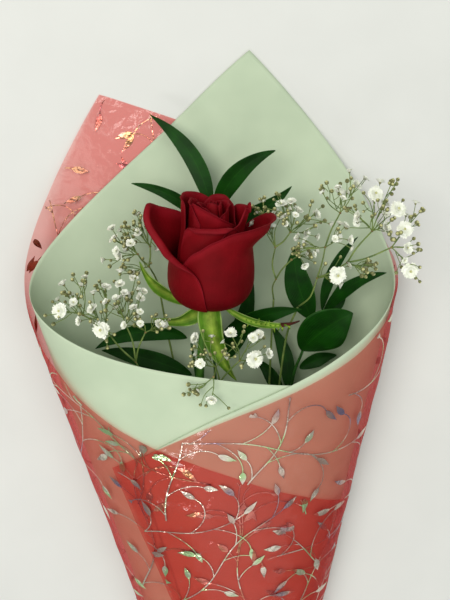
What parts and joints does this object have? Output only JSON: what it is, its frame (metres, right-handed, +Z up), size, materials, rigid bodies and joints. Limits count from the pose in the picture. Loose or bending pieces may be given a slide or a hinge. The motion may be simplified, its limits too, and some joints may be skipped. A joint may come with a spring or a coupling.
{
  "type": "single rose bouquet in a paper and film wrap",
  "caption": "Red rose bud with gypsophila and ruscus in a rolled white paper cone, sleeved in printed red film and tied at the waist, lying on its back.",
  "frame": {"origin": "on the surface the bouquet lies on, under the middle of its bounding box", "axes": "+Y along the bouquet from the cut stems to the flowers, +X to the right as seen from above with the flowers at the top, +Z up from the surface"},
  "size_m": [0.2188, 0.5634, 0.097],
  "materials": {
    "wrap_paper": "matt white, faintly translucent",
    "wrap_film": "clear red film printed with silver vines",
    "ribbon": "satin",
    "rubber_band": "matt",
    "rose_stem": "satin green bark",
    "ruscus_stem": "satin",
    "ruscus_leaf": "waxy gloss",
    "sepal": "downy matt",
    "petal": "velvet",
    "gypsophila": "matt white flowers on thin green stems"
  },
  "bodies": {
    "root": {"paper_sheet": "wrap_paper", "film_sheet": "wrap_film", "waist_ribbon": "ribbon", "stem_band": "rubber_band", "rose_stem": "rose_stem", "rose_hip": "sepal", "sepal_upper_left": "sepal", "sepal_lower_left": "sepal", "sepal_front": "sepal", "sepal_right": "sepal", "sepal_back": "sepal", "petal_outer_left": "petal", "petal_outer_right": "petal", "petal_outer_back": "petal", "petal_middle_front": "petal", "petal_middle_right": "petal", "petal_middle_left": "petal", "petal_inner_front": "petal", "petal_inner_back": "petal", "petal_inner_left": "petal", "petal_core_right": "petal", "petal_core_left": "petal", "rose_heart": "petal", "ruscus_twig_back": "ruscus_stem", "ruscus_twig_right": "ruscus_stem", "ruscus_twig_left": "ruscus_stem", "leaf_back_tall": "ruscus_leaf", "leaf_back_right": "ruscus_leaf", "leaf_back_left": "ruscus_leaf", "leaf_back_low": "ruscus_leaf", "leaf_under_bud": "ruscus_leaf", "leaf_behind_bud": "ruscus_leaf", "leaf_right_upright": "ruscus_leaf", "leaf_right_thin": "ruscus_leaf", "leaf_right_outer": "ruscus_leaf", "leaf_right_dark": "ruscus_leaf", "leaf_right_broad": "ruscus_leaf", "leaf_right_inner": "ruscus_leaf", "leaf_right_low": "ruscus_leaf", "leaf_right_under": "ruscus_leaf", "leaf_left_long": "ruscus_leaf", "leaf_left_lower": "ruscus_leaf", "gypsophila_left_back": "gypsophila", "gypsophila_left": "gypsophila", "gypsophila_front": "gypsophila", "gypsophila_right": "gypsophila", "gypsophila_right_inner": "gypsophila"}
  },
  "joints": []
}
